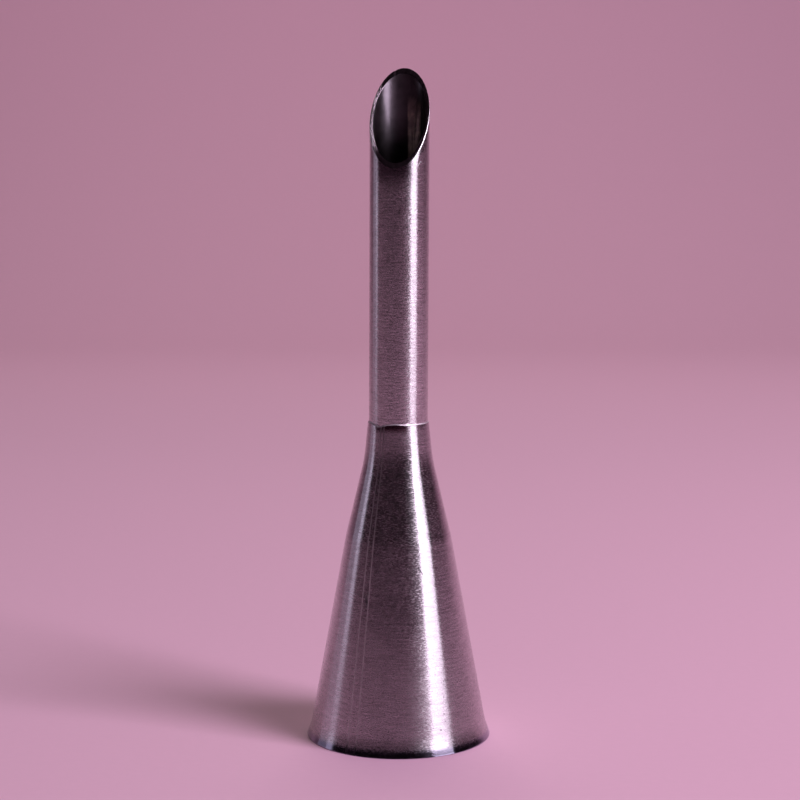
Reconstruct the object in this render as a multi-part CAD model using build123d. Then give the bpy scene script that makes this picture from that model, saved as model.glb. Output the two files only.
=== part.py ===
from build123d import *
import os
from math import cos, radians, sin, tan

# A long filling nozzle for a piping bag, standing on its rim.
# Millimetres. Z runs up the axis, and the origin is the centre of the foot.
# The tube's slanted cut faces -Y: its low point is there, and its high point is at +Y.

# Filling tube
tube_diameter = 6.6
tube_wall = 0.35
tube_reach = 39.2  # from the collar to the highest point of the slanted cut
lap_length = 5.4  # from the collar down to the tube's lower end, inside the cone
cut_angle = 31.0  # between the slanted cut and the tube's axis, in degrees

# Cone, from the foot up. Its diameters and growths are over its outer face.
sheet_thickness = 0.35
rim_diameter = 20.8  # at the floor, before its corner is broken
flare_growth = 0.53  # how far the rim stands out from the skirt's lower end
flare_rise = 1.45
skirt_rise = 21.45
shoulder_diameter = 11.83  # where the skirt meets the shoulder
shoulder_rise = 8.7
neck_growth = 0.43  # how much wider the neck's lower end is than the collar, in radius
neck_rise = 4.2
collar_lip = 0.06  # what is left of the sheet at the collar's edge
flare_bend = 3.0
shoulder_bend = 10.0
neck_bend = 20.0
rim_outer_chamfer = 0.14
rim_inner_chamfer = 0.06

# Braze that holds the tube in the neck
braze_gap = 0.05  # between the tube and the cone, all along the lap
fillet_height = 0.3
fillet_reach_share = 0.6  # of the collar's lip

# Weld that closes the rolled cone
weld_width_angle = 6.45  # degrees round the axis
weld_angle = 22.2  # from the cut's low side towards -X, to the middle of the weld, in degrees

overrun = 2.0  # how far an outline runs on before it is trimmed

# Radii that follow
tube_radius = tube_diameter / 2
bore_radius = tube_radius - tube_wall
socket_radius = tube_radius + braze_gap
collar_radius = socket_radius + collar_lip
neck_radius = collar_radius + neck_growth
shoulder_radius = shoulder_diameter / 2
rim_radius = rim_diameter / 2
flare_radius = rim_radius - flare_growth

# Heights that follow
flare_height = flare_rise
shoulder_height = flare_height + skirt_rise
neck_height = shoulder_height + shoulder_rise
collar_height = neck_height + neck_rise
bell_height = collar_height - lap_length
overall_height = collar_height + tube_reach

# Depths under the cone's outer face, from the outside in
inside_sheet = sheet_thickness
inside_braze = inside_sheet + braze_gap
inside_bell = inside_braze + tube_wall

# Azimuths of the weld's middle and its two sides, in degrees round Z from +X
low_side_azimuth = 270.0
weld_middle = low_side_azimuth - weld_angle
weld_start = weld_middle - weld_width_angle / 2
weld_end = weld_middle + weld_width_angle / 2
whole_turn = 360.0


def run_on(start, through):
    """The point an overrun past `through`, on the line from start."""
    return through + (through - start).normalized() * overrun


def inward(start, end):
    """The unit normal, towards the axis, of a line that runs up the cone."""
    along = (end - start).normalized()
    return Vector(-along.Y, along.X)


def inset(corners, depth):
    """The corners of the line that runs a depth inside a line of corners."""
    normals = [inward(start, end) for start, end in zip(corners, corners[1:])]
    before = [normals[0]] + normals
    after = normals + [normals[-1]]
    return [
        corner + (one + other) * (depth / (1 + one.dot(other)))
        for corner, one, other in zip(corners, before, after)
    ]


def band(bottom, top):
    """The part of a section's plane between two heights."""
    half_width = rim_radius + overrun
    return Pos(0, (bottom + top) / 2) * Rectangle(2 * half_width, top - bottom)


def cone_outline(depth):
    """The line that runs a depth under the cone's outer face, past both its ends."""
    rim = Vector(rim_radius, 0)
    flare = Vector(flare_radius, flare_height)
    shoulder = Vector(shoulder_radius, shoulder_height)
    neck = Vector(neck_radius, neck_height)
    collar = Vector(collar_radius, collar_height)
    corners = [run_on(flare, rim), flare, shoulder, neck, run_on(neck, collar)]
    bends = [flare_bend + depth, shoulder_bend - depth, neck_bend + depth]
    return FilletPolyline(*inset(corners, depth), radius=bends)


def core(depth, radius):
    """All that lies within the cone at a depth under its outer face, or within a
    straight core of a radius, as a section with X outwards and Y upwards."""
    line = cone_outline(depth)
    first, last = line @ 0, line @ 1
    close = Polyline(first, (0, first.Y), (0, last.Y), last)
    within_cone = make_face(line.edges() + close.edges()) & band(0, collar_height)
    if not radius:
        return within_cone
    straight = Pos(radius / 2, overall_height / 2) * Rectangle(radius, overall_height)
    return within_cone + straight


def turn(section, start, sweep):
    """The section swept round the axis, from one azimuth through an angle."""
    upright = Rot(0, 0, start) * (Plane.XZ * section)
    return revolve(upright, axis=Axis.Z, revolution_arc=sweep)


def break_foot(section):
    """Breaks the two corners of the rim's trimmed foot."""
    inner, outer = section.vertices().group_by(Axis.Y)[0].sort_by(Axis.X)
    section = chamfer(outer, rim_outer_chamfer)
    inner = section.vertices().sort_by_distance(inner)[0]
    return chamfer(inner, rim_inner_chamfer)


def cone_section():
    """The sheet: thinned at the collar, where its neck is bored for the tube."""
    sheet = core(0, 0) - core(inside_sheet, socket_radius)
    return break_foot(sheet)


def braze_section():
    """The film in the lap and the fillet above the collar's edge."""
    lap = core(inside_sheet, socket_radius) - core(inside_braze, tube_radius)
    film = lap & band(bell_height, collar_height)
    reach = socket_radius + collar_lip * fillet_reach_share
    top = collar_height + fillet_height
    corner = (tube_radius, collar_height)
    fillet_face = make_face(Polyline(corner, (reach, collar_height), (tube_radius, top), corner))
    return film + fillet_face


def tube_section():
    """The tube, with its bell mouth against the inside of the cone."""
    wall = core(inside_braze, tube_radius) - core(inside_bell, bore_radius)
    return wall & band(bell_height, overall_height)


def slanted_cut(tube):
    """Keeps what lies under the slanted plane, whose high point is at full height."""
    middle = overall_height - tube_radius / tan(radians(cut_angle))
    slope = radians(cut_angle)
    plane = Plane(origin=(0, 0, middle), z_dir=(0, -cos(slope), sin(slope)))
    return split(tube, bisect_by=plane, keep=Keep.BOTTOM)


def build_cone():
    return turn(cone_section(), weld_end, whole_turn - weld_width_angle)


def build_seam_weld():
    return turn(cone_section(), weld_start, weld_width_angle)


def build_filling_tube():
    return slanted_cut(turn(tube_section(), 0, whole_turn))


def build_joint_braze():
    return turn(braze_section(), 0, whole_turn)


nodes = {
    "cone": build_cone(),
    "seam_weld": build_seam_weld(),
    "filling_tube": build_filling_tube(),
    "joint_braze": build_joint_braze(),
}

os.makedirs("parts", exist_ok=True)
for name, shape in nodes.items():
    export_step(shape, f"parts/{name}.step")
    print(name, len(shape.solids()), "solid", round(shape.volume, 2), "mm3")
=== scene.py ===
from math import acos, ceil, cos, pi, radians, sin, tan

import bpy
import numpy as np
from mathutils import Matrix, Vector, noise


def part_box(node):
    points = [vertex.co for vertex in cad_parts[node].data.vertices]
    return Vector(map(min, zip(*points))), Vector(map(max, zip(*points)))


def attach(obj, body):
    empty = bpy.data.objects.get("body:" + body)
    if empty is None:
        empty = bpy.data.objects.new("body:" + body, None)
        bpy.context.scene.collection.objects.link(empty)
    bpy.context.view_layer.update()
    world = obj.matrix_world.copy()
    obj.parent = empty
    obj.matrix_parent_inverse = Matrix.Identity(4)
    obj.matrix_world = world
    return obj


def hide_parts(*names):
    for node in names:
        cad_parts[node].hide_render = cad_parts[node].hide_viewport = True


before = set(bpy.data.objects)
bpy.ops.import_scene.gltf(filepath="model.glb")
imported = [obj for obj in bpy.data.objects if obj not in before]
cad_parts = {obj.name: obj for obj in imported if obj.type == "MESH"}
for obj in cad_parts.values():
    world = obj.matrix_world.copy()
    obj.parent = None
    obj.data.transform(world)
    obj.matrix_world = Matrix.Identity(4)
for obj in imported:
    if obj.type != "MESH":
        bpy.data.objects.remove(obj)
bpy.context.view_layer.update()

# The long filling nozzle, in metres. Z runs up its axis and the origin is the centre of its foot.
# Azimuths are degrees round Z from +X. The slanted cut faces -Y. An azimuth from the camera's side
# is 0 towards the camera and positive to the right of the view.
# A place round the axis is an azimuth from the camera's side, a reach in degrees and the power of
# its fall. In a list of places each has its size in front.

# Heights that the frame gives
collar_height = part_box("cone")[1].z
tip_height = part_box("filling_tube")[1].z
bell_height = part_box("filling_tube")[0].z

# The cone's outer line, from the foot up
rim_radius = 0.0104
flare_radius = 0.00987
flare_height = 0.00145
shoulder_radius = 0.005915
shoulder_height = 0.0229
neck_radius = 0.00384
neck_height = 0.0316
collar_radius = 0.00341
flare_bend = 0.010
shoulder_bend = 0.010
neck_bend = 0.020
sheet = 0.00035
foot_round = 0.00004
foot_inner_round = 0.00004

# The collar's hand-finished edge
collar_waves = [(-0.00027, -40, 13, 2), (-0.00010, 150, 30, 2), (0.00005, -8, 12, 2)]
collar_ripple = 0.00005
collar_drop = 0.00003
filed_places = [(1.0, -20, 32, 4), (0.8, 52, 9, 2), (1.0, 170, 60, 4)]
filed_depth = 0.00005
filed_ripple = 0.3
filed_height = 0.0006

# The weld that closes the rolled cone
weld_azimuth = 247.8
weld_width_angle = 6.45
groove_width = 0.00006
groove_depth = 0.0000015

# The tube
tube_radius = 0.0033
tube_wall = 0.00035
tube_lean = radians(0.24)

# The slanted cut: its rounded corners, the wall pared just under them, the torn side and a nick
cut_angle = radians(31.0)
cut_outer_round = 0.00004
cut_ground_round = 0.00020
cut_ground_places = [(1.0, 52, 22, 3), (0.30, -95, 50, 4)]
cut_inner_round = 0.00004
cut_fall = 1.2
cut_end_reach = 0.0009
cut_end_pared = 0.00006
cut_end_place = (48, 26, 2)
cut_jag = 0.00002
torn_pared = 0.00004
torn_pared_place = (-82, 26, 4)
torn_jag = 0.00013
torn_jag_place = (-88, 32, 4)
nick_azimuth = 188
nick_width = 2.2
nick_depth = 0.00005

# The fine seam and the leaning bead inside the bore
bore_seam_azimuth = 72.0
bore_seam_width = 3.0
bore_seam_rise = 0.00003
bore_seam_end = 0.0003
bead_azimuth = 60.0
bead_height = 0.0684
bead_tall = 0.0016
bead_rise = 0.00006
bead_lean = 2200.0
bead_left_flank = 6.0
bead_right_flank = 4.6

# The braze: a film in the lap and a fillet on the collar's edge
braze_gap = 0.00005
fillet_height = 0.00014
fillet_reach = 0.00004
fillet_lip = 0.00001
fillet_ripple = 0.35
fillet_waves = [(1.6, -46, 4, 2), (0.9, 17, 5, 2), (0.7, -72, 18, 2)]
fillet_curve = 1.5

# How finely the meshes are divided, and the angle from which an edge is shaded sharp
row_gap = 0.0002
cone_columns = 246
weld_columns = 6
tube_columns = 300
torn_fine_place = (-72, 45, 8)
torn_fine_steps = (0.375, 0.75)
tube_outer_rows = 80
tube_end_shares = (0.3, 0.6, 0.85, 0.97)
tube_inner_rows = 70
tube_inner_gap = 0.0001
outer_corner_points = 7
inner_corner_points = 4
braze_columns = 240
braze_rows = 14
fillet_shares = (0.25, 0.5, 0.75)
sweep_steps = 28
sharp_angle = radians(40)

# How many rows of the cut's corners keep the tube's finish and the bore's, and how many strips
# beside the weld have the border's
corner_rows_tube = 4
corner_rows_bore = 2
border_strips = 2

# Where the finishes change and where light and shade are painted. Each pair runs from the least
# effect to the full one: heights, or for an edge the cosines of the angle from an azimuth. These
# azimuths are from the camera's side, and the painted streak's is counted from the bore's seam.
neck_matt = (0.0318, 0.0350)
skirt_pitted = (0.0165, 0.006)
flare_smooth = (0.0011, 0.0003)
# The heights where the flare's colour turns to a painted dark, bluish reflection
flare_painted_reflection_heights = (0.0011, 0.0004)
# A darker patch under the collar's edge, on the side towards the camera
collar_patch_azimuth = -15
collar_patch_edge = (0.85, 0.90)
collar_patch_tall = 0.0009
collar_patch_uneven = 0.0005
# Painted shade on the tube under the cut's lower end, on the side towards the camera
under_cut_shade_azimuth = -12
under_cut_shade_edge = (0.70, 0.92)
under_cut_shade_heights = (0.0610, 0.0639)
# Painted shade in the bore: darker further down and away from its lit side
bore_painted_shade_heights = (0.0650, 0.0700)
bore_lit_azimuth = -140
bore_lit_edge = (0.2, 0.95)
# A painted light streak in the bore beside its seam
bore_streak_aside = -8
bore_streak_edge = (0.975, 0.993)
bore_streak_heights = (0.0722, 0.0695)
# Painted light and shade on the weld's borders: lit on the skirt, shaded higher up and darkest at the foot
border_painted_lit_top = (0.034, 0.016)
border_painted_lit_foot = (0.0008, 0.0020)
border_painted_shade_heights = (0.0014, 0.0006)

# Where the cut turns torn, along X
cut_torn = (-0.0017, -0.0027)

# The textures: how much finer the grain is than the lines and how much slower the bands are, the
# full middle of a pit and of a scratch, and the noise values between which a hairline starts
grain_finer = 5.0
band_slower = 0.16
pit_core = 0.4
scratch_core = 0.6
hairline_edge = (0.72, 0.80)
dimples_per_metre = 3400.0
quarter_turn = 0.25

# The paper's surface
paper_grain_per_metre = 1800.0
paper_roughness = 0.75
paper_shine = 0.2

# Colours, linear. A pair is the darkest and the lightest tone of an uneven metal.
cone_tones = ((0.47, 0.43, 0.45), (0.68, 0.64, 0.66))
# A painted dark, bluish reflection on the flare's lowest part
flare_painted_reflection_colour = (0.30, 0.27, 0.35)
# The colour of the darker patch under the collar's edge
collar_patch_colour = (0.17, 0.085, 0.115)
pit_colour = (0.16, 0.14, 0.16)
dark_scratch_colour = (0.05, 0.04, 0.05)
tube_tones = ((0.42, 0.39, 0.40), (0.74, 0.71, 0.72))
# Painted shade under the cut's lower end
under_cut_shade_colour = (0.14, 0.11, 0.13)
# A painted glint: the scratch's colour lightened towards white
scratch_glint_colour = (1.0, 0.94, 1.0)
bore_tones = ((0.19, 0.160, 0.180), (0.33, 0.285, 0.315))
# Painted shade deep in the bore
bore_painted_shade_colour = (0.02, 0.016, 0.014)
# The painted light streak in the bore
bore_streak_colour = (0.70, 0.58, 0.48)
torn_tones = ((0.40, 0.32, 0.36), (0.66, 0.56, 0.62))
ground_tones = ((0.20, 0.115, 0.15), (0.30, 0.19, 0.24))
# The weld's borders in painted shade, in painted light, and in the painted shade at the foot
border_shaded_tones = ((0.24, 0.21, 0.22), (0.40, 0.36, 0.37))
border_painted_lit_tones = ((0.50, 0.46, 0.47), (0.75, 0.70, 0.71))
border_painted_shade_colour = (0.06, 0.05, 0.06)
braze_tones = ((0.52, 0.44, 0.48), (0.95, 0.86, 0.91))
paper_colour = (0.69, 0.405, 0.53)
paper_dark_share = 0.985
room_colour = (0.004, 0.003, 0.004)

# Single scratches and pits: azimuth from the camera's side, height, lean, half length, half width
cone_scratches = [
    (22.2, 0.02003, -0.58, 0.00055, 0.00012),
    (29.1, 0.00273, 0.0, 0.00012, 0.00013),
    (32.6, 0.00438, 0.0, 0.00009, 0.00010),
]
tube_scratches = [(42.5, 0.06447, 0.866, 0.00032, 0.00006)]

# The camera, as the photograph shows the nozzle
camera_azimuth = -81.17
camera_distance = 0.2257
camera_height = 0.0675
camera_pitch = radians(7.39)
camera_side_step = 0.00018
camera_lens = 91.6
camera_clip_start = 0.01
sensor_width = 36.0


def direction(azimuth):
    """The level unit vector that points to an azimuth in degrees."""
    angle = radians(azimuth)
    return Vector((cos(angle), sin(angle), 0))


view_right = direction(camera_azimuth + 90)
view_back = -direction(camera_azimuth)

# The paper sweep behind and under the nozzle
floor_front = 0.22
floor_back = 0.25
floor_half_width = 1.2
sweep_start = 0.42
sweep_radius = 0.30
sweep_top = 0.9

# Lamps: azimuth from the camera's side, distance from the axis, height, width, tall, watts, colour
nozzle_lamps = {
    "key_softbox": (59, 0.48, 0.47, 0.265, 0.44, 4.5, (0.95, 0.84, 1.0)),
    "key_skirt": (59, 0.55, 0.08, 0.26, 0.15, 0.34, (0.92, 0.84, 1.0)),
    "left_softbox": (-96, 0.60, 0.16, 0.12, 0.30, 0.052, (0.84, 0.80, 1.0)),
    "left_wall": (-106, 0.60, 0.16, 0.30, 0.30, 0.09, (0.84, 0.74, 1.0)),
    "top_softbox": (180, 0.30, 0.52, 0.35, 0.35, 1.0, (1.0, 1.0, 0.92)),
}
backdrop_lamp = (-125, 0.16, 0.45, 0.30, 0.20, 0.40, (1.0, 0.75, 0.745))
open_spread = 180.0
backdrop_spread = 120.0
nozzle_aim = Vector((0, 0, 0.03))
backdrop_aim = view_back * 0.72 + Vector((0, 0, 0.35))


# Outlines

def unit(vector):
    """A vector's direction, with length 1."""
    return vector / np.linalg.norm(vector)


def rounded_line(corners, bends, gap):
    """Points about a gap apart along a line of corners, with an arc at each inner corner."""
    corners = [np.array(corner, float) for corner in corners]
    knots = [corners[0]]
    for before, corner, after, bend in zip(corners, corners[1:], corners[2:], bends):
        back, ahead = unit(before - corner), unit(after - corner)
        half = acos(np.clip(back @ ahead, -1, 1)) / 2
        centre = corner + unit(back + ahead) * bend / sin(half)
        start = corner + back * bend / tan(half) - centre
        end = corner + ahead * bend / tan(half) - centre
        turn = acos(np.clip(start @ end / bend**2, -1, 1))
        steps = max(2, ceil(turn * bend / gap))
        for step in range(steps + 1):
            share = step / steps
            mix = start * sin((1 - share) * turn) + end * sin(share * turn)
            knots.append(centre + mix / sin(turn))
    knots.append(corners[-1])
    points = [knots[0]]
    for start, end in zip(knots, knots[1:]):
        steps = max(1, ceil(np.linalg.norm(end - start) / gap - 0.01))
        points += [start + (end - start) * (step + 1) / steps for step in range(steps)]
    return np.array(points)


def normals_of(line):
    """The unit normals to the left of a line of points."""
    along = np.gradient(line, axis=0)
    along /= np.linalg.norm(along, axis=1)[:, None]
    return np.column_stack((-along[:, 1], along[:, 0]))


cone_corners = [
    (rim_radius, 0),
    (flare_radius, flare_height),
    (shoulder_radius, shoulder_height),
    (neck_radius, neck_height),
    (collar_radius, collar_height),
]
cone_line = rounded_line(cone_corners, [flare_bend, shoulder_bend, neck_bend], row_gap)
cone_normals = normals_of(cone_line)


def cone_radius(height, depth=0.0):
    """The radius of the line that runs a depth under the cone's outer face."""
    inner = cone_line + cone_normals * depth
    return np.interp(height, inner[:, 1], inner[:, 0])


# Uneven shapes round the axis

def near(azimuth, middle, reach, power):
    """1 at an azimuth from the camera's side, falling off to either side of it."""
    away = (azimuth - camera_azimuth - middle + 180) % 360 - 180
    return np.exp(-abs(away / reach) ** power)


def near_any(azimuth, places):
    """The sum of the places in a list, each times its size."""
    return sum(size * near(azimuth, *place) for size, *place in places)


def ripple(azimuth, seed):
    """A smooth uneven value, from -1 to 1, that closes round the axis."""
    angle = radians(azimuth)
    return noise.noise(Vector((cos(angle), sin(angle), seed)))


def jagged(azimuth, rate, seed):
    """An uneven value, from -1 to 1, along the azimuth."""
    return noise.noise(Vector((azimuth * rate, seed, 0)))


# Meshes

def mesh_piece(name, points, faces, materials, face_materials):
    """A smooth-shaded mesh object with its faces' materials."""
    mesh = bpy.data.meshes.new(name)
    mesh.from_pydata(points, [], faces)
    for material in materials:
        mesh.materials.append(material)
    mesh.polygons.foreach_set("material_index", face_materials)
    mesh.polygons.foreach_set("use_smooth", [True] * len(faces))
    mesh.set_sharp_from_angle(angle=sharp_angle)
    mesh.update()
    piece = bpy.data.objects.new(name, mesh)
    bpy.context.scene.collection.objects.link(piece)
    return piece


def loop_wall(columns, whole_turn, pick):
    """Points, faces and material numbers of a closed wall: each column is one closed section.
    pick(row, column) gives a face's material number."""
    columns = np.array(columns)
    count, rows = columns.shape[0], columns.shape[1]
    points = columns.reshape(-1, 3)
    faces = []
    picked = []
    for column in range(count if whole_turn else count - 1):
        after = (column + 1) % count
        for row in range(rows):
            up = (row + 1) % rows
            faces.append((column * rows + row, after * rows + row, after * rows + up, column * rows + up))
            picked.append(pick(row, column))
    if not whole_turn:
        for column, turned in ((0, False), (count - 1, True)):
            face = [column * rows + row for row in range(rows)]
            faces.append(tuple(face[::-1] if turned else face))
            picked.append(0)
    return points, faces, picked


def arc_points(centre, radius, start, end, steps):
    """Points on an arc in a section's plane, both ends included, angles in degrees."""
    angles = np.radians(np.linspace(start, end, steps + 1))
    return np.column_stack((centre[0] + radius * np.cos(angles), centre[1] + radius * np.sin(angles)))


def round_column(azimuths, section):
    """The points of a section turned to one azimuth, or to one for each of its points."""
    angles = np.radians(azimuths) * np.ones(len(section))
    return np.column_stack((section[:, 0] * np.cos(angles), section[:, 0] * np.sin(angles), section[:, 1]))


# Node groups for the finishes

def new_group(name, inputs, outputs):
    """An empty shader group with float inputs, given with their values, and float outputs."""
    group = bpy.data.node_groups.new(name, "ShaderNodeTree")
    for socket, value in inputs.items():
        made = group.interface.new_socket(socket, in_out="INPUT", socket_type="NodeSocketFloat")
        made.default_value = value
    for socket in outputs:
        group.interface.new_socket(socket, in_out="OUTPUT", socket_type="NodeSocketFloat")
    return group


def place(tree, kind, settings=None, **inputs):
    """A node of a kind with its settings. An input's value is a number, a vector or another node's
    socket. Its name is the socket's, with _ for a space, or _ and the socket's number."""
    node = tree.nodes.new(kind)
    for setting, value in (settings or {}).items():
        setattr(node, setting, value)
    for socket, value in inputs.items():
        number = socket[1:]
        target = node.inputs[int(number) if number.isdigit() else socket.replace("_", " ")]
        if isinstance(value, bpy.types.NodeSocket):
            tree.links.new(value, target)
        else:
            target.default_value = value
    return node


def sums(tree, operation, *values):
    """A math node's result. The values are numbers or sockets."""
    inputs = {f"_{index}": value for index, value in enumerate(values)}
    return place(tree, "ShaderNodeMath", {"operation": operation}, **inputs).outputs[0]


def added(tree, total, *parts):
    """A total to which each part, a value and its share, is added."""
    for value, share in parts:
        total = sums(tree, "MULTIPLY_ADD", value, share, total)
    return total


def spread(tree, value, low, high, to_low=0.0, to_high=1.0):
    """A value carried from one range to another, smoothly and without overshoot."""
    settings = {"interpolation_type": "SMOOTHSTEP"}
    node = place(
        tree, "ShaderNodeMapRange", settings,
        Value=value, From_Min=low, From_Max=high, To_Min=to_low, To_Max=to_high,
    )
    return node.outputs[0]


def object_place(tree):
    """The place of a point of the piece, in metres."""
    return place(tree, "ShaderNodeTexCoord").outputs["Object"]


def object_axes(tree):
    """The three coordinates of a point of the piece, in metres."""
    return place(tree, "ShaderNodeSeparateXYZ", Vector=object_place(tree)).outputs


def uneven(tree, vector, scale, detail, roughness, **more):
    """A noise texture's value."""
    inputs = {"Scale": scale, "Detail": detail, "Roughness": roughness, **more}
    return place(tree, "ShaderNodeTexNoise", Vector=vector, **inputs).outputs[0]


def turned_lines_group():
    """Fine lines that run round the axis, as from polishing on a lathe, and small dimples."""
    group = new_group(
        "turned_lines",
        {"Lines per metre": 4600.0, "Stretch": 4.0, "Offset": 0.0},
        ["Fine", "Grain", "Band", "Dimple"],
    )
    ends = group.nodes.new("NodeGroupInput").outputs
    axes = object_axes(group)
    across = sums(group, "DIVIDE", ends["Lines per metre"], ends["Stretch"])
    flat_x = sums(group, "MULTIPLY", axes[0], across)
    flat_y = sums(group, "MULTIPLY", axes[1], across)
    up = sums(group, "MULTIPLY_ADD", axes[2], ends["Lines per metre"], ends["Offset"])
    fine_place = place(group, "ShaderNodeCombineXYZ", X=flat_x, Y=flat_y, Z=up).outputs[0]
    finer = place(group, "ShaderNodeVectorMath", {"operation": "SCALE"}, _0=fine_place, _3=grain_finer)
    slow = sums(group, "MULTIPLY", up, band_slower)
    band_place = place(group, "ShaderNodeCombineXYZ", X=flat_x, Y=flat_y, Z=slow).outputs[0]
    dimples = uneven(group, object_place(group), scale=dimples_per_metre, detail=1.0, roughness=0.5)
    made = {
        "Fine": uneven(group, fine_place, scale=1.0, detail=3.0, roughness=0.65),
        "Grain": uneven(group, finer.outputs[0], scale=1.0, detail=1.0, roughness=0.6),
        "Band": uneven(group, band_place, scale=1.0, detail=2.0, roughness=0.5),
        "Dimple": dimples,
    }
    out = group.nodes.new("NodeGroupOutput")
    for socket, value in made.items():
        group.links.new(value, out.inputs[socket])
    return group


def cloudy_group():
    """Soft uneven patches, as on handled metal."""
    group = new_group("cloudy", {"Patches per metre": 400.0, "Offset": 0.0}, ["Patch"])
    ends = group.nodes.new("NodeGroupInput").outputs
    moved = place(
        group, "ShaderNodeVectorMath", {"operation": "ADD"}, _0=object_place(group), _1=ends["Offset"],
    )
    scale = ends["Patches per metre"]
    patch = uneven(group, moved.outputs[0], scale, detail=4.0, roughness=0.6, Distortion=0.4)
    out = group.nodes.new("NodeGroupOutput")
    group.links.new(patch, out.inputs["Patch"])
    return group


def specks_group():
    """Small scattered pits: a share of the cells holds one each."""
    group = new_group("specks", {"Cells per metre": 2500.0, "Share": 0.15, "Size": 0.28}, ["Pit"])
    ends = group.nodes.new("NodeGroupInput").outputs
    cells = place(
        group, "ShaderNodeTexVoronoi", Vector=object_place(group), Scale=ends["Cells per metre"],
    )
    chance = place(group, "ShaderNodeSeparateColor", Color=cells.outputs["Color"]).outputs[0]
    chosen = sums(group, "LESS_THAN", chance, ends["Share"])
    core = sums(group, "MULTIPLY", ends["Size"], pit_core)
    fade = spread(group, cells.outputs["Distance"], core, ends["Size"], to_low=1.0, to_high=0.0)
    out = group.nodes.new("NodeGroupOutput")
    group.links.new(sums(group, "MULTIPLY", chosen, fade), out.inputs["Pit"])
    return group


def hairlines_group():
    """Sparse long scratches that cross the turned lines at a slant."""
    group = new_group(
        "hairlines", {"Per metre": 2600.0, "Stretch": 26.0, "Tilt": 1.1, "Offset": 0.0}, ["Mark"],
    )
    ends = group.nodes.new("NodeGroupInput").outputs
    turned = place(
        group, "ShaderNodeVectorRotate", {"rotation_type": "Y_AXIS"},
        Vector=object_place(group), Angle=ends["Tilt"],
    )
    axes = place(group, "ShaderNodeSeparateXYZ", Vector=turned.outputs[0]).outputs
    along = sums(group, "DIVIDE", ends["Per metre"], ends["Stretch"])
    line_place = place(
        group, "ShaderNodeCombineXYZ",
        X=sums(group, "MULTIPLY", axes[0], along),
        Y=sums(group, "MULTIPLY", axes[1], along),
        Z=sums(group, "MULTIPLY_ADD", axes[2], ends["Per metre"], ends["Offset"]),
    )
    lines = uneven(group, line_place.outputs[0], scale=1.0, detail=1.0, roughness=0.4)
    out = group.nodes.new("NodeGroupOutput")
    group.links.new(spread(group, lines, *hairline_edge), out.inputs["Mark"])
    return group


def scratch_group():
    """One straight scratch, or a pit, at a place on a round piece. Side is the level unit vector along
    the surface there, and Lean is how far the scratch runs along it for each metre up."""
    group = new_group(
        "scratch",
        {"Side X": 1.0, "Side Y": 0.0, "Height": 0.0, "Lean": 0.0, "Long": 0.0003, "Wide": 0.00005},
        ["Mark"],
    )
    ends = group.nodes.new("NodeGroupInput").outputs
    axes = object_axes(group)
    along_y = sums(group, "MULTIPLY", axes[1], ends["Side Y"])
    along = sums(group, "MULTIPLY_ADD", axes[0], ends["Side X"], along_y)
    crossed = sums(group, "MULTIPLY", axes[1], ends["Side X"])
    outward = sums(group, "SUBTRACT", sums(group, "MULTIPLY", axes[0], ends["Side Y"]), crossed)
    up = sums(group, "SUBTRACT", axes[2], ends["Height"])
    leant = sums(group, "MULTIPLY", up, ends["Lean"])
    away = sums(group, "ABSOLUTE", sums(group, "SUBTRACT", along, leant))
    beside = spread(group, away, ends["Wide"], 0.0)
    full = sums(group, "MULTIPLY", ends["Long"], scratch_core)
    beyond = spread(group, sums(group, "ABSOLUTE", up), ends["Long"], full)
    front = sums(group, "GREATER_THAN", outward, 0.0)
    mark = sums(group, "MULTIPLY", sums(group, "MULTIPLY", beside, beyond), front)
    out = group.nodes.new("NodeGroupOutput")
    group.links.new(mark, out.inputs["Mark"])
    return group


turned_lines = turned_lines_group()
cloudy = cloudy_group()
specks = specks_group()
hairlines = hairlines_group()
scratch = scratch_group()


def use(tree, group, **inputs):
    """A group placed in a material with its own values."""
    return place(tree, "ShaderNodeGroup", {"node_tree": group}, **inputs).outputs


# Materials

def new_material(name):
    """A material and its empty node tree."""
    material = bpy.data.materials.new(name)
    material.use_nodes = True
    tree = material.node_tree
    tree.nodes.clear()
    return material, tree


def mix_colour(tree, share, first, second):
    """One colour blended into another by a share."""
    node = place(tree, "ShaderNodeMix", {"data_type": "RGBA"}, Factor=share)
    for socket, value in zip(node.inputs[6:8], (first, second)):
        if isinstance(value, bpy.types.NodeSocket):
            tree.links.new(value, socket)
        else:
            socket.default_value = (*value, 1.0)
    return node.outputs[2]


def finish_metal(tree, colour, roughness, height, depth, anisotropy, turned=True):
    """The metal shader: colour, roughness and height are sockets, depth is the relief in metres."""
    shader = place(tree, "ShaderNodeBsdfPrincipled", Base_Color=colour, Roughness=roughness)
    shader.inputs["Metallic"].default_value = 1.0
    shader.inputs["Anisotropic"].default_value = anisotropy
    if turned:
        shader.inputs["Anisotropic Rotation"].default_value = quarter_turn
    tangent = place(tree, "ShaderNodeTangent", {"direction_type": "RADIAL", "axis": "Z"})
    tree.links.new(tangent.outputs[0], shader.inputs["Tangent"])
    bump = place(tree, "ShaderNodeBump", Strength=1.0, Distance=depth, Height=height)
    tree.links.new(bump.outputs[0], shader.inputs["Normal"])
    out = tree.nodes.new("ShaderNodeOutputMaterial")
    tree.links.new(shader.outputs[0], out.inputs["Surface"])


def facing(tree, azimuth, radius):
    """The cosine of a point's azimuth from a given one, for points at a radius."""
    towards = direction(azimuth) / radius
    operation = {"operation": "DOT_PRODUCT"}
    product = place(tree, "ShaderNodeVectorMath", operation, _0=object_place(tree), _1=towards)
    return product.outputs["Value"]


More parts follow.
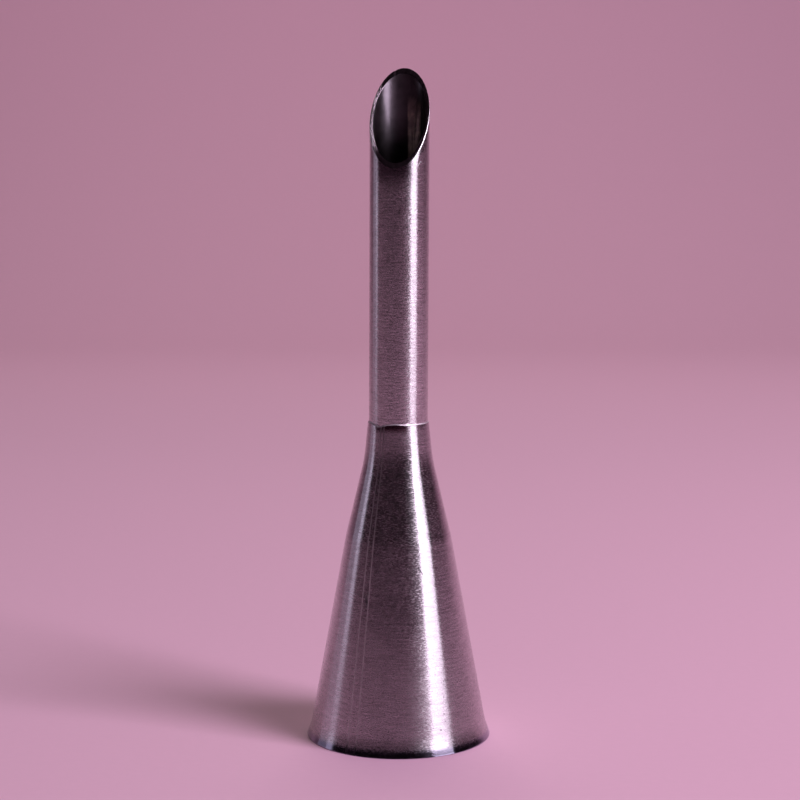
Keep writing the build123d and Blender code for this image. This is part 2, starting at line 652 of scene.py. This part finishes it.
def collar_dark_patch(tree, rough_edge):
    """A share that is 1 in one darker patch under the collar's edge, on the side towards the camera."""
    aligned = facing(tree, camera_azimuth + collar_patch_azimuth, collar_radius)
    height = added(tree, object_axes(tree)[2], (rough_edge, collar_patch_uneven))
    low = spread(tree, height, collar_height - collar_patch_tall, collar_height)
    return sums(tree, "MULTIPLY", low, spread(tree, aligned, *collar_patch_edge))


def scratches(tree, places):
    """A share that is 1 on the scratches of a list."""
    total = 0.0
    for azimuth, height, lean, half_long, half_wide in places:
        side = direction(camera_azimuth + azimuth + 90)
        settings = {"Height": height, "Lean": lean, "Long": half_long, "Wide": half_wide}
        mark = use(tree, scratch, Side_X=side.x, Side_Y=side.y, **settings)["Mark"]
        total = sums(tree, "MAXIMUM", mark, total)
    return total


def cone_steel(name, offset, places):
    """Turned and polished sheet: matt at the neck, smooth on the flare with a painted dark, bluish
    reflection at its foot, pitted low on the skirt, with a darker patch under the collar's edge on the
    side towards the camera.
    """
    material, tree = new_material(name)
    lines = use(tree, turned_lines, Lines_per_metre=4600.0, Stretch=8.0, Offset=offset)
    patch = use(tree, cloudy, Patches_per_metre=330.0)["Patch"]
    pits = use(tree, specks, Cells_per_metre=3300.0, Share=0.20, Size=0.34)["Pit"]
    marks = use(tree, hairlines)["Mark"]
    height = object_axes(tree)[2]
    neck = spread(tree, height, *neck_matt)
    low = spread(tree, height, *skirt_pitted)
    flare = spread(tree, height, *flare_smooth)

    worn = spread(tree, lines["Grain"], 0.54, 0.70, to_low=0.14, to_high=0.36)
    worn = added(tree, worn, (lines["Band"], 0.05), (patch, 0.04), (neck, 0.06), (low, 0.06))
    polished = added(tree, 1.0, (flare, -0.55))
    roughness = sums(tree, "MULTIPLY", worn, polished)

    low_pits = sums(tree, "MULTIPLY", pits, low)
    relief = added(tree, lines["Fine"], (low_pits, -0.3), (marks, -0.1))
    calm = added(tree, 1.0, (flare, -0.92))
    relief = sums(tree, "MULTIPLY", relief, calm)

    fine_tone = spread(tree, lines["Fine"], 0.3, 0.7, to_low=0.0, to_high=0.6)
    tone = added(tree, fine_tone, (lines["Band"], 0.4))
    metal = mix_colour(tree, tone, *cone_tones)
    # The flare's lowest part is painted a dark, bluish reflection
    metal = mix_colour(tree, spread(tree, height, *flare_painted_reflection_heights), metal, flare_painted_reflection_colour)
    dark_patch = collar_dark_patch(tree, lines["Fine"])
    colour = mix_colour(tree, dark_patch, metal, collar_patch_colour)
    colour = mix_colour(tree, sums(tree, "MULTIPLY", low_pits, 0.5), colour, pit_colour)
    colour = mix_colour(tree, scratches(tree, places), colour, dark_scratch_colour)
    finish_metal(tree, colour, roughness, relief, depth=0.000015, anisotropy=0.95)
    return material


def tube_steel():
    """Drawn tube, polished round its axis, with painted shade under the cut's lower end on the side
    towards the camera, and scratched once, with a painted glint on the scratch.
    """
    material, tree = new_material("polished_tube_steel")
    lines = use(tree, turned_lines, Lines_per_metre=4800.0, Stretch=4.0, Offset=31.0)
    patch = use(tree, cloudy, Patches_per_metre=380.0, Offset=0.4)["Patch"]
    marks = use(tree, hairlines, Tilt=0.9, Offset=7.0)["Mark"]
    worn = spread(tree, lines["Grain"], 0.54, 0.70, to_low=0.15, to_high=0.42)
    roughness = added(tree, worn, (lines["Band"], 0.06), (patch, 0.05))
    relief = added(tree, lines["Fine"], (marks, -0.1), (lines["Dimple"], 0.12))
    fine_tone = spread(tree, lines["Fine"], 0.3, 0.7, to_low=0.0, to_high=0.5)
    tone = added(tree, fine_tone, (lines["Band"], 0.5))
    metal = mix_colour(tree, tone, *tube_tones)
    # Painted shade: the tube darkened under the cut's lower end, on the side towards the camera
    under_cut_shade = spread(tree, object_axes(tree)[2], *under_cut_shade_heights)
    under_cut_shade_side = spread(tree, facing(tree, camera_azimuth + under_cut_shade_azimuth, tube_radius), *under_cut_shade_edge)
    under_cut_shade = sums(tree, "MULTIPLY", under_cut_shade, under_cut_shade_side)
    colour = mix_colour(tree, under_cut_shade, metal, under_cut_shade_colour)
    # The scratch is real relief and roughness; its light colour is a painted glint
    scratched = scratches(tree, tube_scratches)
    colour = mix_colour(tree, scratched, colour, scratch_glint_colour)
    roughness = added(tree, roughness, (scratched, 0.3))
    relief = added(tree, relief, (scratched, 1.2))
    finish_metal(tree, colour, roughness, relief, depth=0.000024, anisotropy=0.95)
    return material


def bore_steel():
    """The tube's unpolished bore, with painted shade that makes it darker further down and on one side,
    and a painted light streak beside its seam.
    """
    material, tree = new_material("drawn_bore_steel")
    bore = tube_radius - tube_wall
    patch = use(tree, cloudy, Patches_per_metre=900.0, Offset=0.7)["Patch"]
    pits = use(tree, specks, Cells_per_metre=5200.0, Share=0.3, Size=0.4)["Pit"]
    height = object_axes(tree)[2]
    roughness = added(tree, 0.24, (patch, 0.16))
    relief = added(tree, patch, (pits, -0.3))
    # Painted shade: the bore darkens further down and away from its lit side
    bore_light_share = spread(tree, height, *bore_painted_shade_heights, to_low=0.15)
    metal = mix_colour(tree, patch, *bore_tones)
    side = facing(tree, camera_azimuth + bore_lit_azimuth, bore)
    bore_light_share = sums(tree, "MULTIPLY", bore_light_share, spread(tree, side, *bore_lit_edge, to_low=0.40))
    # A painted light streak beside the bore's seam, which is also rougher
    aligned = facing(tree, bore_seam_azimuth + bore_streak_aside, bore)
    beside_seam = spread(tree, aligned, *bore_streak_edge)
    painted_streak = sums(tree, "MULTIPLY", beside_seam, spread(tree, height, *bore_streak_heights))
    painted_streak = sums(tree, "MULTIPLY", painted_streak, spread(tree, patch, 0.3, 0.7, to_low=0.4))
    roughness = added(tree, roughness, (painted_streak, 0.18))
    metal = mix_colour(tree, bore_light_share, bore_painted_shade_colour, metal)
    colour = mix_colour(tree, painted_streak, metal, bore_streak_colour)
    finish_metal(tree, colour, roughness, relief, depth=0.000012, anisotropy=0.35)
    return material


def cut_steel():
    """The ground face of the slanted cut, torn rough on one side."""
    material, tree = new_material("ground_cut_steel")
    patch = use(tree, cloudy, Patches_per_metre=1600.0, Offset=0.2)["Patch"]
    crumbs = use(tree, cloudy, Patches_per_metre=6500.0, Offset=0.9)["Patch"]
    torn = spread(tree, object_axes(tree)[0], *cut_torn)
    roughness = added(tree, 0.18, (patch, 0.12))
    relief = added(tree, patch, (sums(tree, "MULTIPLY", torn, crumbs), 22.0))
    torn_colour = mix_colour(tree, patch, *torn_tones)
    ground_colour = mix_colour(tree, patch, *ground_tones)
    colour = mix_colour(tree, torn, ground_colour, torn_colour)
    finish_metal(tree, colour, roughness, relief, depth=0.000004, anisotropy=0.0, turned=False)
    return material


def border_steel():
    """The fine ground borders of the weld, which scatter light, with painted light and shade: bright on
    the skirt, shaded higher up, dark at the foot.
    """
    material, tree = new_material("weld_border_steel")
    patch = use(tree, cloudy, Patches_per_metre=1500.0, Offset=0.5)["Patch"]
    height = object_axes(tree)[2]
    roughness = added(tree, 0.40, (patch, 0.2))
    # Painted light on the skirt, painted shade higher up and darkest at the foot
    low = spread(tree, height, *border_painted_lit_top)
    low = sums(tree, "MULTIPLY", low, spread(tree, height, *border_painted_lit_foot))
    shade = mix_colour(tree, patch, *border_shaded_tones)
    bright = mix_colour(tree, patch, *border_painted_lit_tones)
    colour = mix_colour(tree, low, shade, bright)
    colour = mix_colour(tree, spread(tree, height, *border_painted_shade_heights), colour, border_painted_shade_colour)
    finish_metal(tree, colour, roughness, patch, depth=0.000002, anisotropy=0.0, turned=False)
    return material


def braze_metal():
    """Bright filler metal at the collar."""
    material, tree = new_material("bright_braze_metal")
    patch = use(tree, cloudy, Patches_per_metre=1300.0, Offset=0.1)["Patch"]
    roughness = added(tree, 0.40, (patch, 0.3))
    colour = mix_colour(tree, patch, *braze_tones)
    finish_metal(tree, colour, roughness, patch, depth=0.00003, anisotropy=0.0, turned=False)
    return material


def paper(name, colour):
    """The plain pale sheet that the nozzle stands on."""
    material, tree = new_material(name)
    grain = place(tree, "ShaderNodeTexNoise", Scale=paper_grain_per_metre, Detail=3.0, Roughness=0.6)
    patch = spread(tree, grain.outputs[0], 0.3, 0.7)
    tint = mix_colour(tree, patch, [channel * paper_dark_share for channel in colour], colour)
    shader = place(tree, "ShaderNodeBsdfPrincipled", Base_Color=tint)
    shader.inputs["Roughness"].default_value = paper_roughness
    shader.inputs["Specular IOR Level"].default_value = paper_shine
    out = tree.nodes.new("ShaderNodeOutputMaterial")
    tree.links.new(shader.outputs[0], out.inputs["Surface"])
    return material


cone_finish = cone_steel("turned_cone_steel", 0.0, cone_scratches)
weld_finish = cone_steel("dressed_weld_steel", 4.0, [])
border_finish = border_steel()
tube_finish = tube_steel()
bore_finish = bore_steel()
cut_finish = cut_steel()
braze_finish = braze_metal()


# The cone and its weld

def collar_shift(azimuth):
    """How far the hand-finished collar edge stands above its mean height."""
    waves = near_any(azimuth, collar_waves) + collar_ripple * ripple(azimuth * 5, seed=5.0)
    return waves - collar_drop


def collar_dressing(azimuth):
    """How far the collar's corner is filed back."""
    rippled = 1 + filed_ripple * ripple(azimuth * 7, seed=8.0)
    return filed_depth * near_any(azimuth, filed_places) * rippled


def cone_section(azimuth):
    """The closed section of the sheet at an azimuth: up outside, over the collar, down inside.
    Gives its points as (radius, height) and the row where the inside starts."""
    outer = cone_line[1:].copy()
    inner = (cone_line + cone_normals * sheet)[1:]
    inner[:, 0] = np.maximum(inner[:, 0], tube_radius + braze_gap)
    share = np.clip((outer[:, 1] - neck_height) / (collar_height - neck_height), 0, 1)
    filed_share = np.clip(1 - (collar_height - outer[:, 1]) / filed_height, 0, 1)
    outer[:, 0] -= collar_dressing(azimuth) * filed_share**2
    outer[:, 1] += collar_shift(azimuth) * share**2
    inner[:, 1] = np.minimum(inner[:, 1] + collar_shift(azimuth) * share**2, outer[-1, 1])
    foot_outer = (cone_radius(foot_round) - foot_round, foot_round)
    foot_inner = (cone_radius(foot_round, sheet) + foot_inner_round, foot_inner_round)
    heel = arc_points(foot_outer, foot_round, start=-90, end=8, steps=5)
    toe = arc_points(foot_inner, foot_inner_round, start=188, end=270, steps=3)
    keep = outer[:, 1] > foot_round + row_gap / 2
    keep_inner = inner[:, 1] > foot_inner_round + row_gap / 2
    return np.vstack((heel, outer[keep], inner[keep_inner][::-1], toe)), len(heel) + keep.sum()


border_offsets = [0.0, groove_width * 0.5, groove_width, groove_width * 1.6]
border_dips = [groove_depth, groove_depth, 0.0, 0.0]


def border_columns(azimuth, side):
    """Columns beside one edge of the slit or the strip, whose edge is broken by a fine groove."""
    section, inside = cone_section(azimuth)
    made = []
    for offset, dip in zip(border_offsets, border_dips):
        dipped = section.copy()
        dipped[:inside, 0] -= dip
        turned = azimuth + side * np.degrees(offset / dipped[:, 0])
        made.append(round_column(turned, dipped))
    return made


def arc_piece(name, start, end, steps, materials, node):
    """A part of the cone's wall from one azimuth round to another, with both its borders. Its plain
    columns start the angle of twice the border's width at the collar in from each edge."""
    lead = np.degrees(border_offsets[-1] * 2 / collar_radius)
    columns = border_columns(start, 1)
    columns += [
        round_column(azimuth, cone_section(azimuth)[0])
        for azimuth in np.linspace(start + lead, end - lead, steps)
    ]
    columns += border_columns(end, -1)[::-1]
    inside = cone_section(start)[1]
    last = len(columns) - 2

    def pick(row, column):
        beside = column < border_strips or column > last - border_strips
        return 1 if beside and row < inside else 0

    points, faces, picked = loop_wall(columns, False, pick)
    piece = mesh_piece(name, points, faces, materials, picked)
    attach(piece, "root")
    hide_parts(node)


weld_start = weld_azimuth - weld_width_angle / 2
weld_end = weld_azimuth + weld_width_angle / 2
cone_materials = [cone_finish, border_finish]
weld_materials = [weld_finish, border_finish]
arc_piece("cone_shell", weld_end, weld_start + 360, cone_columns, cone_materials, "cone")
arc_piece("weld_strip", weld_start, weld_end, weld_columns, weld_materials, "seam_weld")


# The tube

def cut_height(azimuth, radius):
    """The height of the slanted cut at a radius."""
    middle = tip_height - tube_radius / tan(cut_angle)
    return middle + radius * sin(radians(azimuth)) / tan(cut_angle)


def ground_reach(azimuth):
    """How far the cut's outer corner is ground round at an azimuth: most on the right of the view."""
    return cut_outer_round + (cut_ground_round - cut_outer_round) * near_any(azimuth, cut_ground_places)


def corner_curve(start, corner, end, count):
    """Points on a smooth curve that leaves start towards the corner and arrives at end."""
    return [
        start * (1 - share) ** 2 + corner * 2 * share * (1 - share) + end * share**2
        for share in np.linspace(0, 1, count)
    ]


def bore_seam(azimuth, height):
    """How far the tube's own seam stands into the bore: a fine line, and a bead beside its upper end."""
    line = bore_seam_rise * np.exp(-(((azimuth - bore_seam_azimuth) / bore_seam_width) ** 2))
    crest = bead_azimuth + (bead_height - height) * bead_lean
    away = azimuth - crest
    flank = np.interp(away, [-bead_left_flank, 0.0, bead_right_flank], [0.0, 1.0, 0.0])
    return line + bead_rise * flank * np.exp(-(((height - bead_height) / bead_tall) ** 2))


def cut_raggedness(azimuth):
    """How far the cut's edge stands above its plane: torn on one side, with a small nick behind."""
    ragged = torn_jag * near(azimuth, *torn_jag_place) * jagged(azimuth, rate=0.8, seed=3.0)
    ragged += cut_jag * jagged(azimuth, rate=0.21, seed=9.0)
    nick_away = (azimuth - (camera_azimuth + nick_azimuth)) / nick_width
    return ragged - nick_depth * np.exp(-nick_away**2)


def tube_section(azimuth):
    """The closed section of the tube at an azimuth, and the rows where the cut and the bore start."""
    bore = tube_radius - tube_wall
    pared = cut_end_pared * near(azimuth, *cut_end_place)
    pared -= torn_pared * near(azimuth, *torn_pared_place) * jagged(azimuth, rate=0.9, seed=6.0)
    rows = np.arange(bell_height, collar_height, row_gap)
    outer = [(max(cone_radius(height, sheet + braze_gap), tube_radius), height) for height in rows]
    top = cut_height(azimuth, tube_radius)
    slope = sin(radians(azimuth)) / tan(cut_angle)
    jag = cut_raggedness(azimuth)
    reach = ground_reach(azimuth)
    fall = reach * cut_fall
    end = top + jag - fall
    straight = np.linspace(collar_height, end - cut_end_reach, tube_outer_rows)
    outer += [(tube_radius, height) for height in straight]
    for share in tube_end_shares:
        outer.append((tube_radius - pared * share**2, end - cut_end_reach * (1 - share)))

    across = np.array([-1.0, -slope])
    across /= np.linalg.norm(across)
    down = np.array([0.0, -1.0])
    corner = np.array([tube_radius - pared, top + jag])
    rounding = corner_curve(corner + down * fall, corner, corner + across * reach, outer_corner_points)
    inner_corner = np.array([bore, cut_height(azimuth, bore) + jag])
    inner_start = inner_corner - across * cut_inner_round
    inner_end = inner_corner + down * cut_inner_round
    inner_rounding = corner_curve(inner_start, inner_corner, inner_end, inner_corner_points)
    inside_top = inner_rounding[-1][1]
    inner = [
        (bore - bore_seam(azimuth, height) * (height < inside_top - bore_seam_end), height)
        for height in np.linspace(inside_top - tube_inner_gap, collar_height, tube_inner_rows)
    ]
    inner += [
        (max(cone_radius(height, sheet + braze_gap + tube_wall), bore), height) for height in rows[::-1]
    ]
    corners = [tuple(point) for point in rounding + inner_rounding]
    cut_row = len(outer) + corner_rows_tube
    bore_row = len(outer) + len(corners) - corner_rows_bore
    return np.array(outer + corners + inner), cut_row, bore_row


def leaning(points):
    """Leans what stands above the collar a little to the right of the view."""
    shift = np.clip(points[:, 2] - collar_height, 0, None) * tan(tube_lean)
    return points + shift[:, None] * np.array(view_right)[None, :]


def filling_tube():
    """The tube, divided more finely round its torn side."""
    coarse = np.arange(tube_columns) * 360 / tube_columns
    torn_side = coarse[near(coarse, *torn_fine_place) > 0.5]
    azimuths = np.sort(np.concatenate([coarse] + [torn_side + step for step in torn_fine_steps]))
    columns = [leaning(round_column(azimuth, tube_section(azimuth)[0])) for azimuth in azimuths]
    cut_row, bore_row = tube_section(0)[1:]

    def pick(row, column):
        return 0 if row < cut_row else 1 if row < bore_row else 2

    points, faces, picked = loop_wall(columns, True, pick)
    piece = mesh_piece("tube_shell", points, faces, [tube_finish, cut_finish, bore_finish], picked)
    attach(piece, "root")
    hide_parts("filling_tube")


filling_tube()


# The braze

def braze_section(azimuth):
    """The closed section of the film in the lap and the fillet on the collar's edge."""
    wave = 1 + fillet_ripple * ripple(azimuth * 4, seed=2.0) + near_any(azimuth, fillet_waves)
    edge = collar_height + collar_shift(azimuth)
    rows = np.linspace(bell_height, edge, braze_rows)
    outer = [(max(cone_radius(height, sheet), tube_radius + braze_gap), height) for height in rows]
    reach = tube_radius + braze_gap + fillet_reach * wave
    top = edge + fillet_height * wave
    outer.append((reach, edge + fillet_lip))
    for share in fillet_shares:
        bulge = (1 - share) ** fillet_curve
        outer.append((tube_radius + (reach - tube_radius) * bulge, edge + (top - edge) * share))
    outer.append((tube_radius, top))
    inner = [(max(cone_radius(height, sheet + braze_gap), tube_radius), height) for height in rows[::-1]]
    return np.array(outer + inner)


def joint_braze():
    """The ring of filler metal that holds the tube in the neck."""
    azimuths = [360 * step / braze_columns for step in range(braze_columns)]
    columns = [round_column(azimuth, braze_section(azimuth)) for azimuth in azimuths]
    points, faces, picked = loop_wall(columns, True, lambda row, column: 0)
    piece = mesh_piece("braze_ring", points, faces, [braze_finish], picked)
    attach(piece, "root")
    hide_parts("joint_braze")


joint_braze()


# Floor, backdrop, lamps and camera

def sweep_floor():
    """One sheet: flat under the nozzle, curved up behind it."""
    flat = [(-floor_front, 0.0), (0.0, 0.0), (floor_back, 0.0)]
    bend = [
        (sweep_start + sweep_radius * sin(angle), sweep_radius * (1 - cos(angle)))
        for angle in np.linspace(0, pi / 2, sweep_steps)
    ]
    line = flat + bend + [(sweep_start + sweep_radius, sweep_top)]
    points = []
    for side in (-floor_half_width, floor_half_width):
        for back, up in line:
            points.append(view_right * side + view_back * back + Vector((0, 0, up)))
    count = len(line)
    faces = [(row, count + row, count + row + 1, row + 1) for row in range(count - 1)]
    floor = mesh_piece("paper_sweep", points, faces, [paper("pale_paper", paper_colour)], [0] * len(faces))


def area_lamp(name, place_and_size, spread_angle, aim):
    """A soft lamp from a row of the lamps' values, turned towards a point."""
    azimuth, distance, height, width, tall, watts, colour = place_and_size
    data = bpy.data.lights.new(name, "AREA")
    data.shape = "RECTANGLE"
    data.size = width
    data.size_y = tall
    data.energy = watts
    data.color = colour
    data.spread = radians(spread_angle)
    lamp = bpy.data.objects.new(name, data)
    lamp.location = direction(camera_azimuth + azimuth) * distance + Vector((0, 0, height))
    lamp.rotation_euler = (aim - lamp.location).to_track_quat("-Z", "Y").to_euler()
    lamp.visible_camera = False
    bpy.context.scene.collection.objects.link(lamp)


def light_the_nozzle():
    """The photograph's lights: a softbox on the right and its dim lower edge, two weak ones on the
    left, one above and behind, and one for the backdrop."""
    for name, row in nozzle_lamps.items():
        area_lamp(name, row, open_spread, nozzle_aim)
    area_lamp("backdrop_lamp", backdrop_lamp, backdrop_spread, backdrop_aim)


def room():
    """The nearly black surroundings that the metal mirrors between the lamps."""
    world = bpy.data.worlds.new("dim_room")
    world.use_nodes = True
    world.node_tree.nodes["Background"].inputs["Color"].default_value = (*room_colour, 1)
    world.node_tree.nodes["Background"].inputs["Strength"].default_value = 1.0
    bpy.context.scene.world = world


def photo_camera():
    """The camera, level but for its pitch, where the photograph was taken from."""
    data = bpy.data.cameras.new("photo_camera")
    data.lens = camera_lens
    data.sensor_width = sensor_width
    data.clip_start = camera_clip_start
    camera = bpy.data.objects.new("photo_camera", data)
    back = direction(camera_azimuth) * camera_distance
    camera.location = back + view_right * camera_side_step + Vector((0, 0, camera_height))
    camera.rotation_euler = (pi / 2 - camera_pitch, 0, radians(camera_azimuth + 90))
    bpy.context.scene.collection.objects.link(camera)
    bpy.context.scene.camera = camera


sweep_floor()
light_the_nozzle()
room()
photo_camera()
bpy.context.scene.view_settings.view_transform = "Standard"
